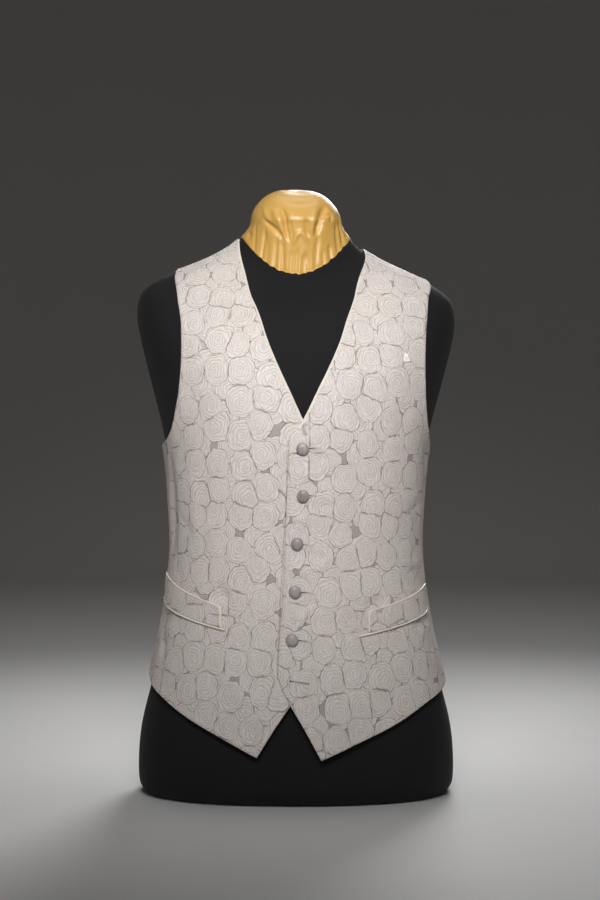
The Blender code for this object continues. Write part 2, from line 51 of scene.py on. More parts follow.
def makeObject(name, bm):
    mesh = bpy.data.meshes.new(name)
    bm.to_mesh(mesh)
    bm.free()
    piece = bpy.data.objects.new(name, mesh)
    bpy.context.scene.collection.objects.link(piece)
    for face in mesh.polygons:
        face.use_smooth = True
    return piece


def applyModifiers(piece):
    graph = bpy.context.evaluated_depsgraph_get()
    finished = bpy.data.meshes.new_from_object(piece.evaluated_get(graph))
    piece.modifiers.clear()
    piece.data = finished
    finished.name = piece.name


def subdivide(piece, levels):
    smoother = piece.modifiers.new("smooth", "SUBSURF")
    smoother.levels = levels
    smoother.render_levels = levels
    smoother.boundary_smooth = "PRESERVE_CORNERS"
    applyModifiers(piece)


def mergedCopy(nodeName):
    bm = bmesh.new()
    bm.from_mesh(nodes[nodeName].data)
    bmesh.ops.remove_doubles(bm, verts=bm.verts, dist=2e-6)
    return bm


def joinQuads(bm):
    bmesh.ops.join_triangles(bm, faces=bm.faces, angle_face_threshold=math.pi,
                             angle_shape_threshold=math.pi, topology_influence=2.0)


def islandsOf(bm):
    left = set(bm.faces)
    islands = []
    while left:
        stack = [left.pop()]
        island = []
        while stack:
            face = stack.pop()
            island.append(face)
            for edge in face.edges:
                for other in edge.link_faces:
                    if other in left:
                        left.discard(other)
                        stack.append(other)
        islands.append(island)
    return islands


def outwardness(island):
    total = 0
    for face in island:
        centre = face.calc_center_median()
        total += face.normal.dot(Vector((centre.x, centre.y, 0))) * face.calc_area()
    return total


# only the outer skin of a panel
def outerShell(nodeName, rimWidth):
    bm = mergedCopy(nodeName)
    rim = [f for f in bm.faces if min(e.calc_length() for e in f.edges) < rimWidth]
    bmesh.ops.delete(bm, geom=rim, context="FACES")
    islands = islandsOf(bm)
    kept = max(islands, key=outwardness)
    dropped = [f for island in islands if island is not kept for f in island]
    bmesh.ops.delete(bm, geom=dropped, context="FACES")
    joinQuads(bm)
    return bm


# corners of the cut edge stay sharp when the cloth is smoothed
def keepCorners(bm, sharpAbove=35):
    crease = bm.verts.layers.float.new("crease_vert")
    for vert in bm.verts:
        cut = [edge.other_vert(vert).co - vert.co for edge in vert.link_edges if edge.is_boundary]
        if len(cut) == 2 and math.degrees(cut[0].angle(-cut[1])) > sharpAbove:
            vert[crease] = 1


# a narrow band of faces all along the cut edge
def bindEdge(bm, width):
    keepCorners(bm)
    result = bmesh.ops.inset_region(bm, faces=list(bm.faces), thickness=width, use_boundary=True,
                                    use_even_offset=True)
    return result["faces"]


def readArrays(mesh):
    points = np.empty(len(mesh.vertices) * 3)
    normals = np.empty(len(mesh.vertices) * 3)
    mesh.vertices.foreach_get("co", points)
    mesh.vertex_normals.foreach_get("vector", normals)
    return points.reshape(-1, 3), normals.reshape(-1, 3)


def writePoints(mesh, points):
    mesh.vertices.foreach_set("co", points.ravel())
    mesh.update()


def surfaceOf(piece):
    bm = bmesh.new()
    bm.from_mesh(piece.data)
    tree = BVHTree.FromBMesh(bm)
    bm.free()
    return tree


cameraLook = {"place": (.005, -2.2, .425), "lens": 70.4, "sensor": 36}
photoMiddle = (300, 450)
metresPerPixel = .00125                    # in the plane through the middle of the form
outside = .5                               # metres from the middle, clear of the form
# how far along a ray the cloth lies, for a ray that just misses it
usualReach = {"round": .44, "photo": 2.12, "back": .40}


# place is a point of the photograph, or (x, z) seen from the back, or (turn, z) from all round
def onSurface(surface, place, seen):
    if seen == "round":
        turn = math.radians(place[0])
        ray = Vector((-math.sin(turn), math.cos(turn), 0))
        start = Vector((0, 0, place[1])) - ray * outside
    elif seen == "photo":
        start = Vector(cameraLook["place"])
        across = (place[0] - photoMiddle[0]) * metresPerPixel
        up = (photoMiddle[1] - place[1]) * metresPerPixel
        ray = Vector((across, -start.y, up)).normalized()
    else:
        start = Vector((place[0], outside, place[1]))
        ray = Vector((0, -1, 0))
    hit = surface.ray_cast(start, ray)
    if hit[0] is None:
        hit = surface.find_nearest(start + ray * usualReach[seen])
    return hit[0], hit[1]


farAway = 9.0                              # more than any distance here


def smoothStep(value, low, high):
    share = np.clip((value - low) / (high - low), 0, 1)
    return share * share * (3 - 2 * share)


# distance to a path of points, and the share of its length where it is nearest
def nearPath(points, path):
    best = np.full(len(points), farAway)
    share = np.zeros(len(points))
    lengths = [(b - a).length for a, b in zip(path, path[1:])]
    total = sum(lengths)
    passed = 0
    for a, b, length in zip(path, path[1:], lengths):
        start = np.array(a)
        run = np.array(b) - start
        along = np.clip(((points - start) @ run) / max(run @ run, 1e-12), 0, 1)
        gap = np.linalg.norm(points - start - along[:, None] * run, axis=1)
        closer = gap < best
        best[closer] = gap[closer]
        share[closer] = (passed + along[closer] * length) / total
        passed += length
    return best, share


# a rounder line through the points
def smoothPath(path, steps=5):
    ends = [path[0] * 2 - path[1]] + path + [path[-1] * 2 - path[-2]]
    line = []
    for i in range(len(path) - 1):
        a, b, c, d = ends[i:i + 4]
        for k in range(steps):
            t = k / steps
            line.append(.5 * (2 * b + (c - a) * t + (2 * a - 5 * b + 4 * c - d) * t * t
                              + (3 * b - a - 3 * c + d) * t ** 3))
    return line + [path[-1]]


# a soft ridge (plus) or trough (minus) along a line of places, with its half width and height in
# metres, and the share of the line in which it fades out at each end
def foldOf(line, width, height, fade=.3):
    return {"line": line, "width": width, "height": height, "fade": fade}


slimEnd = .6                               # width at the ends of a fold, as a share


def foldCloth(piece, folds):
    surface = surfaceOf(piece)
    points, normals = readArrays(piece.data)
    rise = np.zeros(len(points))
    for fold in folds:
        path = smoothPath([onSurface(surface, place, fold.get("seen", "photo"))[0]
                           for place in fold["line"]])
        gap, share = nearPath(points, path)
        fade = smoothStep(1 - share, 0, fold["fade"])
        if not fold.get("open"):                        # an open fold runs out of its first end at full depth
            fade = fade * smoothStep(share, 0, fold["fade"])
        width = fold["width"] * (slimEnd + (1 - slimEnd) * fade)
        rise += fold["height"] * fade * np.exp(-(gap / width) ** 2)
    writePoints(piece.data, points + normals * rise[:, None])


# turned edges are rounded and a little thicker beside the rim; seams sink in and pucker
def rollEdges(piece, look, neighbours=()):
    bm = bmesh.new()
    bm.from_mesh(piece.data)
    rim = [v.co.copy() for v in bm.verts if v.is_boundary]
    bm.free()
    tree = KDTree(len(rim))
    for i, place in enumerate(rim):
        tree.insert(place, i)
    tree.balance()
    surfaces = []
    for name in neighbours:
        other = mergedCopy(name)
        surfaces.append(BVHTree.FromBMesh(other))
        other.free()
    sewn = [any((surface.find_nearest(place)[3] or farAway) < look["seamGap"] for surface in surfaces)
            for place in rim]
    points, normals = readArrays(piece.data)
    found = [tree.find(p) for p in points]
    gap = np.array([item[2] for item in found])
    seam = np.array([1.0 if sewn[item[1]] else 0.0 for item in found])
    drop = -look["drop"] * (1 - np.clip(gap / look["round"], 0, 1)) ** 2
    ridge = look["ridge"] * np.exp(-((gap - look["ridgeAt"]) / look["ridgeWidth"]) ** 2)
    sink = -look["sink"] * np.exp(-gap / look["sinkWidth"])
    along = points[:, 2] + look["slant"] * np.abs(points[:, 0])
    uneven = look["unevenness"] * np.sin(along * look["unevenAt"])
    wave = np.sin(along * 2 * math.pi / look["pucker"] + uneven) * np.sin(along * look["swellAt"] + 1)
    pucker = look["puckerHeight"] * wave * np.exp(-gap / look["puckerWidth"])
    pucker *= smoothStep(gap, 0, look["puckerFrom"]) * (look["turned"] + (1 - look["turned"]) * seam)
    rise = (drop + ridge) * (1 - seam) + sink * seam + pucker
    writePoints(piece.data, points + normals * rise[:, None])


# flat pattern of the piece in metres, its grain upright
def unwrapCloth(piece):
    bpy.ops.object.select_all(action="DESELECT")
    piece.select_set(True)
    bpy.context.view_layer.objects.active = piece
    bpy.ops.object.mode_set(mode="EDIT")
    bpy.ops.mesh.select_all(action="SELECT")
    bpy.ops.uv.unwrap(method="ANGLE_BASED", margin=0)
    bpy.ops.object.mode_set(mode="OBJECT")
    mesh = piece.data
    uv = np.empty(len(mesh.loops) * 2)
    mesh.uv_layers.active.data.foreach_get("uv", uv)
    uv = uv.reshape(-1, 2)
    heights = np.array([mesh.vertices[loop.vertex_index].co.z for loop in mesh.loops])
    flatArea = 0
    for face in mesh.polygons:
        corners = uv[list(face.loop_indices)]
        x, y = corners[:, 0], corners[:, 1]
        flatArea += .5 * (x @ np.roll(y, -1) - y @ np.roll(x, -1))
    realArea = sum(face.area for face in mesh.polygons)
    uv *= math.sqrt(realArea / abs(flatArea))
    fit = np.linalg.lstsq(np.column_stack([uv, np.ones(len(uv))]), heights, rcond=None)[0]
    lean = math.atan2(fit[0], fit[1])
    c, s = math.cos(lean), math.sin(lean)
    uv = uv @ np.array([[c, s], [-s, c]])
    low, high = uv.min(axis=0), uv.max(axis=0)
    uv -= low
    mesh.uv_layers.active.data.foreach_set("uv", uv.ravel())
    return tuple(float(x) for x in high - low), float(realArea)


# inside is how many slots on the inner side's material lies
def thicken(piece, thickness, inside=0):
    wall = piece.modifiers.new("wall", "SOLIDIFY")
    wall.thickness = thickness
    wall.offset = -1
    wall.use_quality_normals = True
    wall.material_offset = inside
    applyModifiers(piece)


def finishPiece(piece, replaced):
    for face in piece.data.polygons:
        face.use_smooth = True
    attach(piece, "root")
    if replaced:
        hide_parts(*replaced)


# node trees are put together with these

def put(tree, kind, **values):
    node = tree.nodes.new(kind)
    for key, value in values.items():
        setattr(node, key, value)
    return node


def feed(tree, socket, source):
    if isinstance(source, bpy.types.NodeSocket):
        tree.links.new(source, socket)
    else:
        socket.default_value = source


fullTurn = 6.28


def calc(tree, operation, *sources):
    node = put(tree, "ShaderNodeMath", operation=operation)
    for socket, source in zip(node.inputs, sources):
        feed(tree, socket, source)
    return node.outputs[0]


def times(tree, first, second):
    return calc(tree, "MULTIPLY", first, second)


def timesPlus(tree, first, second, added):
    return calc(tree, "MULTIPLY_ADD", first, second, added)


def minus(tree, first, second):
    return calc(tree, "SUBTRACT", first, second)


# maps low..high to toLow..toHigh with soft ends
def stretch(tree, source, low, high, toLow, toHigh):
    node = put(tree, "ShaderNodeMapRange", interpolation_type="SMOOTHSTEP")
    for socket, value in zip(node.inputs, (source, low, high, toLow, toHigh)):
        feed(tree, socket, value)
    return node.outputs[0]


def mixColour(tree, share, first, second, way="MIX"):
    node = put(tree, "ShaderNodeMix", data_type="RGBA", blend_type=way)
    feed(tree, node.inputs[0], share)
    feed(tree, node.inputs[6], first)
    feed(tree, node.inputs[7], second)
    return node.outputs[2]


# the colour made lighter or darker by the tone
def toned(tree, colour, tone):
    grey = put(tree, "ShaderNodeCombineColor")
    for socket in grey.inputs[:3]:
        tree.links.new(tone, socket)
    return mixColour(tree, 1.0, colour, grey.outputs[0], "MULTIPLY")


def mixValue(tree, share, first, second):
    node = put(tree, "ShaderNodeMix", data_type="FLOAT")
    feed(tree, node.inputs[0], share)
    feed(tree, node.inputs[2], first)
    feed(tree, node.inputs[3], second)
    return node.outputs[0]


def noiseAt(tree, place, scale, detail=2, stretched=(1, 1, 1)):
    spread = put(tree, "ShaderNodeMapping")
    feed(tree, spread.inputs["Vector"], place)
    spread.inputs["Scale"].default_value = stretched
    node = put(tree, "ShaderNodeTexNoise")
    tree.links.new(spread.outputs[0], node.inputs["Vector"])
    node.inputs["Scale"].default_value = scale
    node.inputs["Detail"].default_value = detail
    return node.outputs["Fac"]


def bump(tree, height, distance):
    node = put(tree, "ShaderNodeBump")
    node.inputs["Strength"].default_value = 1
    node.inputs["Distance"].default_value = distance
    feed(tree, node.inputs["Height"], height)
    return node.outputs[0]


def newMaterial(name, **values):
    material = bpy.data.materials.new(name)
    material.use_nodes = True
    tree = material.node_tree
    shader = tree.nodes["Principled BSDF"]
    for key, value in values.items():
        shader.inputs[key].default_value = value
    return material, tree, shader


roseLook = {
    "across": .0300, "along": .0345,       # from rose to rose in one layer
    "reach": .588,                         # radius of a rose as a share of that
    "rings": 6,
    "scatter": .49,
    "wobble": .075, "ripple": 4.5,         # how far and how closely its outline wavers
    "offCentre": .30,
    "drift": 1.1, "driftAt": 3.2,          # how unevenly its rings are spaced
    "line": (.04, .24),                    # half the dark line between petals, full and faded, in rings
    "border": (.3, .042),                  # the line where two roses meet, its full share and width
    "cut": .05,                            # softness of the outline
    "under": (17.5, 9.5),                  # how far the lower layer lies from the upper one
    "slim": (.22, .90),                    # spread and least of a rose's breadth
    "sizes": (.20, .90),                   # and of its size
    "petals": (.9, 2.6),                   # more petals with each ring, from this many at the heart
    "twist": 2.4,                          # how far each ring's petals are turned from the last
    "tall": (.42, .18), "short": .22,      # spread, least and foot of a petal's height, in rings
    "weights": (.64, .36),                 # the outermost line is darker than the inner ones
    # a petal's lip is raised in the relief and also painted lighter, a painted highlight; the hollow behind
    # it is only painted darker, a painted shade
    "lipBand": (-.75, -.45, -.30, -.12),   # where a petal's lip rises and falls
    "hollowShadeBand": (.05, .5),               # and the hollow behind it
}


# one layer of roses: where they cover, their lines, and the lips and hollows of their petals
def roseLayer(tree, place, look, shift):
    lattice = put(tree, "ShaderNodeMapping")
    feed(tree, lattice.inputs["Vector"], place)
    lattice.inputs["Location"].default_value = (shift[0], shift[1], 0)
    lattice.inputs["Scale"].default_value = (1 / look["across"], 1 / look["along"], 0)
    ripple = put(tree, "ShaderNodeTexNoise")
    tree.links.new(lattice.outputs[0], ripple.inputs["Vector"])
    ripple.inputs["Scale"].default_value = look["ripple"]
    ripple.inputs["Detail"].default_value = 1.5
    waver = put(tree, "ShaderNodeVectorMath", operation="MULTIPLY_ADD")
    tree.links.new(ripple.outputs["Color"], waver.inputs[0])
    waver.inputs[1].default_value = (look["wobble"] * 2, look["wobble"] * 2, 0)
    tree.links.new(lattice.outputs[0], waver.inputs[2])
    cells = put(tree, "ShaderNodeTexVoronoi", voronoi_dimensions="2D", feature="F1")
    borders = put(tree, "ShaderNodeTexVoronoi", voronoi_dimensions="2D", feature="DISTANCE_TO_EDGE")
    for node in (cells, borders):
        tree.links.new(waver.outputs[0], node.inputs["Vector"])
        node.inputs["Scale"].default_value = 1
        node.inputs["Randomness"].default_value = look["scatter"]
    chance = put(tree, "ShaderNodeSeparateColor")
    tree.links.new(cells.outputs["Color"], chance.inputs[0])
    red, green, blue = chance.outputs
    away = put(tree, "ShaderNodeVectorMath", operation="SUBTRACT")
    tree.links.new(waver.outputs[0], away.inputs[0])
    tree.links.new(cells.outputs["Position"], away.inputs[1])
    parts = put(tree, "ShaderNodeSeparateXYZ")
    tree.links.new(away.outputs[0], parts.inputs[0])

    def centred(socket):
        return minus(tree, socket, .5)

    def length(x, y):
        squares = calc(tree, "ADD", times(tree, x, x), times(tree, y, y))
        return calc(tree, "SQRT", squares)

    x = times(tree, parts.outputs[0], timesPlus(tree, blue, *look["slim"]))
    y = parts.outputs[1]
    sizeSpread, smallest = look["sizes"]
    size = timesPlus(tree, red, sizeSpread * look["reach"], smallest * look["reach"])
    heart = calc(tree, "MAXIMUM", minus(tree, 1, calc(tree, "DIVIDE", length(x, y), size)), 0)
    x = timesPlus(tree, times(tree, centred(green), look["offCentre"]), heart, x)
    y = timesPlus(tree, times(tree, centred(red), look["offCentre"]), heart, y)
    turn = calc(tree, "ARCTAN2", y, x)
    depth = times(tree, calc(tree, "DIVIDE", length(x, y), size), look["rings"])
    drift = times(tree, centred(noiseAt(tree, lattice.outputs[0], look["driftAt"], 1)), look["drift"])
    steady = minus(tree, 1, calc(tree, "POWER", calc(tree, "DIVIDE", depth, look["rings"]), 3))
    depth = calc(tree, "MAXIMUM", timesPlus(tree, drift, steady, depth), 0)
    ring = calc(tree, "FLOOR", depth)
    within = calc(tree, "FRACT", depth)
    petals = calc(tree, "FLOOR", timesPlus(tree, ring, *look["petals"]))
    start = timesPlus(tree, ring, look["twist"], times(tree, green, fullTurn))
    swing = timesPlus(tree, times(tree, turn, .5), petals, start)
    wave = calc(tree, "POWER", calc(tree, "ABSOLUTE", calc(tree, "SINE", swing)), .5)
    which = calc(tree, "FLOORED_MODULO", calc(tree, "FLOOR", calc(tree, "DIVIDE", swing, math.pi)), petals)
    seed = put(tree, "ShaderNodeCombineXYZ")
    for socket, source in zip(seed.inputs, (which, ring, times(tree, blue, 91))):
        tree.links.new(source, socket)
    uneven = put(tree, "ShaderNodeTexWhiteNoise", noise_dimensions="3D")
    tree.links.new(seed.outputs[0], uneven.inputs["Vector"])
    tall = timesPlus(tree, uneven.outputs["Value"], *look["tall"])
    petal = timesPlus(tree, wave, tall, look["short"])
    past = minus(tree, within, petal)
    whole = calc(tree, "LESS_THAN", ring, look["rings"] - 1.5)
    last = calc(tree, "LESS_THAN", ring, look["rings"] - .5)
    cut = stretch(tree, past, -look["cut"], look["cut"], 1, 0)
    inside = calc(tree, "MAXIMUM", whole, times(tree, last, cut))
    line = times(tree, stretch(tree, calc(tree, "ABSOLUTE", past), *look["line"], 1, 0), last)
    outermost = minus(tree, 1, whole)
    line = times(tree, line, timesPlus(tree, outermost, *look["weights"]))
    full, border = look["border"]
    meeting = stretch(tree, borders.outputs["Distance"], border * full, border, 1, 0)
    line = calc(tree, "MAXIMUM", line, times(tree, meeting, inside))
    # lip: the band inside each petal line, raised and painted lighter as a highlight; hollow: the band behind
    # the line, darkened as painted shade
    foot, crest, edge, end = look["lipBand"]
    lip = times(tree, stretch(tree, past, foot, crest, 0, 1), stretch(tree, past, edge, end, 1, 0))
    behind = calc(tree, "GREATER_THAN", past, 0)
    hollowShade = times(tree, stretch(tree, past, *look["hollowShadeBand"], 1, 0), behind)
    return {"inside": inside, "line": line, "lip": lip, "hollowShade": hollowShade}


brocadeLook = {
    "rose": (.672, .608, .565, 1), "ground": (.500, .435, .410, 1),
    "roseGloss": .74, "groundGloss": .27,
    "line": .62, "worn": (.34, .60, .34),      # the lines fade in places
    "lineTint": (1, .89, .81, 1),
    # lip is how much lighter each petal's lip is painted, a painted highlight; the hollow's value is how much
    # darker the hollow behind it is painted, a painted shade
    "lip": .08, "hollowShade": .08, "streaks": .17, "blotches": .12,
    "wornScale": 75, "streakScale": 560, "streakShape": (1, .12, 1), "blotchScale": 22,
    "weftApart": .0007, "warpApart": .0009, "relief": .00035,
    # heights as shares of the relief; the ground's upright satin threads spread its shine sideways
    "roseHeight": .45, "lipHeight": .4, "lineDepth": .5, "streakHeight": .3,
    "weftHeight": (.03, .02), "warpHeight": .26,
}


def brocadeMaterial(name, shift):
    material, tree, shader = newMaterial(name, **{"Sheen Weight": .02, "Sheen Roughness": .5,
                                                  "Specular IOR Level": 1.0, "IOR": 1.8})
    look = brocadeLook
    flat = put(tree, "ShaderNodeUVMap", uv_map="flat").outputs[0]
    top = roseLayer(tree, flat, roseLook, shift)
    acrossUnder, alongUnder = roseLook["under"]
    under = roseLayer(tree, flat, roseLook, (shift[0] + acrossUnder, shift[1] + alongUnder))
    bare = put(tree, "ShaderNodeAttribute", attribute_name="bare").outputs["Fac"]
    clothed = minus(tree, 1, bare)
    covered = times(tree, calc(tree, "MAXIMUM", top["inside"], under["inside"]), clothed)

    # the part of the upper rose at each place
    def stacked(part):
        lower = times(tree, under[part], under["inside"])
        upper = times(tree, top[part], top["inside"])
        return times(tree, mixValue(tree, top["inside"], lower, upper), clothed)

    lip, hollowShade = stacked("lip"), stacked("hollowShade")
    below = times(tree, under["line"], minus(tree, 1, top["inside"]))
    line = times(tree, calc(tree, "MAXIMUM", top["line"], below), clothed)
    low, high, least = look["worn"]
    wear = noiseAt(tree, flat, look["wornScale"], 2)
    line = times(tree, line, stretch(tree, wear, low, high, least, 1))
    parts = put(tree, "ShaderNodeSeparateXYZ")
    tree.links.new(flat, parts.inputs[0])
    weft = calc(tree, "SINE", times(tree, parts.outputs[1], 2 * math.pi / look["weftApart"]))
    warp = calc(tree, "SINE", times(tree, parts.outputs[0], 2 * math.pi / look["warpApart"]))
    plain = minus(tree, 1, covered)
    streaks = noiseAt(tree, flat, look["streakScale"], 2, look["streakShape"])
    blotches = noiseAt(tree, flat, look["blotchScale"], 3)
    # painted highlight on each petal's lip and painted shade in the hollow behind it
    tone = timesPlus(tree, lip, look["lip"], 1)
    tone = minus(tree, tone, times(tree, hollowShade, look["hollowShade"]))
    tone = minus(tree, tone, times(tree, line, look["line"]))
    tone = timesPlus(tree, minus(tree, streaks, .5), look["streaks"] * 2, tone)
    tone = timesPlus(tree, minus(tree, blotches, .5), look["blotches"], tone)
    colour = mixColour(tree, covered, look["ground"], look["rose"])
    colour = toned(tree, colour, tone)
    warmLine = mixColour(tree, line, (1, 1, 1, 1), look["lineTint"])
    colour = mixColour(tree, 1.0, colour, warmLine, "MULTIPLY")
    tree.links.new(colour, shader.inputs["Base Color"])
    gloss = mixValue(tree, covered, look["groundGloss"], look["roseGloss"])
    tree.links.new(gloss, shader.inputs["Roughness"])
    height = times(tree, lip, look["lipHeight"])
    height = timesPlus(tree, covered, look["roseHeight"], height)
    height = minus(tree, height, times(tree, line, look["lineDepth"]))
    weftHeight = timesPlus(tree, covered, *look["weftHeight"])
    height = timesPlus(tree, weft, weftHeight, height)
    height = timesPlus(tree, times(tree, warp, plain), look["warpHeight"], height)
    height = timesPlus(tree, streaks, look["streakHeight"], height)
    tree.links.new(bump(tree, height, look["relief"]), shader.inputs["Normal"])
    return material


satinLook = {
    "slubScale": 260, "cloudScale": 16, "gloss": (-.06, .08),   # around the roughness asked for
    "slubHeight": .6, "threadHeight": .25, "crooked": .4, "relief": .00012,
}


# smooth cloth with fine threads and a few slubs
def satinMaterial(name, colour, roughness, place="Object", thread=.0006, fleck=.05, sheen=.2):
    material, tree, shader = newMaterial(name, **{"Sheen Weight": sheen, "Sheen Roughness": .4,
                                                  "Specular IOR Level": .5})
    if place == "Object":
        where = put(tree, "ShaderNodeTexCoord").outputs["Object"]
    else:
        where = put(tree, "ShaderNodeUVMap", uv_map=place).outputs[0]
    slubs = noiseAt(tree, where, satinLook["slubScale"], 3, (1, 1, .12) if place == "Object" else (1, .1, 1))
    clouds = noiseAt(tree, where, satinLook["cloudScale"], 3)
    tone = timesPlus(tree, minus(tree, slubs, .5), fleck * 2, 1)
    tone = timesPlus(tree, minus(tree, clouds, .5), fleck * 2, tone)
    tree.links.new(toned(tree, (*colour, 1), tone), shader.inputs["Base Color"])
    gloss = [roughness + step for step in satinLook["gloss"]]
    tree.links.new(stretch(tree, slubs, .3, .7, *gloss), shader.inputs["Roughness"])
    weave = put(tree, "ShaderNodeTexWave", wave_type="BANDS", bands_direction="DIAGONAL")
    tree.links.new(where, weave.inputs["Vector"])
    weave.inputs["Scale"].default_value = 1 / thread / fullTurn
    weave.inputs["Distortion"].default_value = satinLook["crooked"]
    height = times(tree, weave.outputs["Fac"], satinLook["threadHeight"])
    height = timesPlus(tree, slubs, satinLook["slubHeight"], height)
    tree.links.new(bump(tree, height, satinLook["relief"]), shader.inputs["Normal"])
    return material


jerseyLook = {
    "colour": (.0085, .0085, .0095, 1), "gloss": (.78, .92),
    "grainScale": 700, "cloudScale": 12, "tones": (.9, .5, .4),
    "rowsApart": .0013, "crooked": 1.5, "grainHeight": .7, "rowHeight": .3, "relief": .0002,
}


# black knit: short upright loops in columns
def jerseyMaterial(name):
    material, tree, shader = newMaterial(name, **{"Sheen Weight": .03, "Sheen Roughness": .5,
                                                  "Specular IOR Level": .22})
    where = put(tree, "ShaderNodeTexCoord").outputs["Object"]
    look = jerseyLook
    grain = noiseAt(tree, where, look["grainScale"], 2, (1, 1, .35))
    clouds = noiseAt(tree, where, look["cloudScale"], 3)
    grainTone, cloudTone, least = look["tones"]
    tone = timesPlus(tree, grain, grainTone, timesPlus(tree, clouds, cloudTone, least))
    tree.links.new(toned(tree, look["colour"], tone), shader.inputs["Base Color"])
    tree.links.new(stretch(tree, grain, .3, .7, *look["gloss"]), shader.inputs["Roughness"])
    rows = put(tree, "ShaderNodeTexWave", wave_type="BANDS", bands_direction="Z")
    tree.links.new(where, rows.inputs["Vector"])
    rows.inputs["Scale"].default_value = 1 / look["rowsApart"] / fullTurn
    rows.inputs["Distortion"].default_value = look["crooked"]
    height = times(tree, rows.outputs["Fac"], look["rowHeight"])
    height = timesPlus(tree, grain, look["grainHeight"], height)
    tree.links.new(bump(tree, height, look["relief"]), shader.inputs["Normal"])
    return material


brocade = {
    1: brocadeMaterial("roseBrocadeLeft", (.13, .37)),
    -1: brocadeMaterial("roseBrocadeRight", (.61, .08)),
}
ivorySatin = satinMaterial("ivorySatin", (.70, .655, .58), .42)
backSatin = satinMaterial("backSatin", (.68, .64, .57), .44, "flat")
# lighter cream satin: the real facing on the fronts' inner side, and on the neckline's edge band a painted
# highlight for the turned edge catching the light
facingAndEdgeHighlight = satinMaterial("facingAndEdgeHighlight", (.76, .70, .61), .5)
pipingSatin = satinMaterial("pipingSatin", (.84, .77, .66), .38)
buttonSatin = satinMaterial("buttonSatin", (.33, .30, .29), .36, thread=.0011, fleck=.55)
goldSatin = satinMaterial("goldSatin", (.68, .40, .10), .33, sheen=.02)
jersey = jerseyMaterial("blackJersey")
silkThread = satinMaterial("silkThread", (.66, .60, .55), .45)
# near black: painted shade for the inside of the buttonhole slits
slitShade = satinMaterial("slitShade", (.06, .045, .04), .7)
print("materials ready")


edgeLook = {
    "band": .0015,
    "drop": .0009, "round": .0018,                              # turned edges
    "ridge": .00025, "ridgeAt": .0042, "ridgeWidth": .0022,
    "seamGap": .0012, "sink": .0007, "sinkWidth": .0012,        # seams
    "pucker": .013, "puckerHeight": .00035, "puckerWidth": .007, "puckerFrom": .002,
    "turned": .25,                                              # puckers of a turned edge, as a share
    "unevenness": 1.7, "unevenAt": 61, "swellAt": 37, "slant": .6,
}
sides = {1: "left", -1: "right"}
panelLook = {"wall": .0019, "levels": 3, "rimWidth": .0022}
# where the edge band takes the painted highlight of the neckline's turned edge
neckline = {"above": .452, "within": .079}

# folds as the photograph shows them, each what foldOf asks for
frontFolds = {
    -1: [
        ([(171, 444), (171, 475), (173, 515), (171, 568)], .0120, -.0038, .35),
        ([(193, 448), (192, 480), (194, 520), (192, 560)], .0110, .0014, .4),
        ([(287.6, 438), (287.2, 500), (283.5, 560), (280.6, 620), (277.8, 684)], .0013, -.0021, .05),
        ([(162, 604), (163, 625), (163, 648), (158, 674)], .0085, -.0034, .4),
        ([(177, 616), (179, 636), (176, 656)], .006, -.0008),
        ([(208, 600), (221, 597), (234, 597)], .0065, -.0022),
        ([(217, 580), (222, 590), (223, 602)], .006, -.0012),
        ([(178, 516), (187, 526), (194, 540)], .0045, -.0010),
        ([(168, 556), (178, 568), (186, 584)], .006, -.0009),
        ([(182, 462), (205, 452), (240, 452), (268, 458)], .015, .0007),
        ([(205, 520), (235, 515), (268, 522)], .013, -.0006),
        ([(228, 570), (255, 560), (280, 552)], .009, -.0006),
        ([(226, 620), (250, 606), (280, 600)], .010, .0006),
        ([(222, 655), (236, 685), (246, 718)], .012, .0011),
        ([(252, 650), (262, 680), (266, 712)], .010, -.0008),
        ([(200, 664), (212, 684), (222, 702)], .010, -.0008),
        ([(240, 728), (250, 732), (260, 730)], .008, -.0010),
        ([(186, 320), (200, 345), (205, 380)], .014, .0009),
        ([(186, 380), (196, 402), (206, 430)], .010, -.0007),
    ],
    1: [
        ([(291.5, 440), (291, 500), (287.5, 560), (285, 620), (282, 676)], .0026, .0010, .06),
        ([(424, 436), (426, 470), (424, 506)], .0080, -.0026, .4),
        ([(402, 522), (413, 509), (424, 498)], .0045, -.0012),
        ([(413, 532), (418, 517), (425, 508)], .004, -.0010),
        ([(404, 577), (414, 570), (420, 571), (423, 580)], .004, -.0018),
        ([(417, 546), (421, 556), (425, 566)], .0045, .0009),
        ([(362, 608), (374, 603), (390, 599)], .006, -.0022),
        ([(410, 630), (420, 623), (428, 613)], .005, -.0020),
        ([(414, 641), (424, 631), (431, 622)], .0045, .0011),
        ([(430, 638), (432, 655), (434, 668)], .0042, -.0013),
        ([(423, 642), (426, 656), (428, 672)], .0042, .0008),
        ([(368, 652), (392, 644), (412, 634)], .009, -.0010),
        ([(404, 668), (412, 684), (424, 694)], .009, -.0008),
        ([(300, 473), (324, 477), (350, 470)], .011, -.0006),
        ([(300, 522), (326, 526), (352, 518)], .012, -.0006),
        ([(312, 505), (332, 500), (356, 490)], .009, .0006),
        ([(302, 562), (330, 560), (356, 552)], .011, .0006),
        ([(300, 612), (330, 612), (352, 622)], .011, .0006),
        ([(330, 652), (337, 690), (329, 732)], .012, -.0009),
        ([(352, 648), (357, 690), (352, 722)], .012, .0009),
        ([(314, 735), (322, 739), (334, 738)], .008, -.0010),
        ([(410, 330), (398, 358), (396, 392)], .014, .0008),
        ([(418, 392), (406, 412), (398, 440)], .010, -.0007),
    ],
}
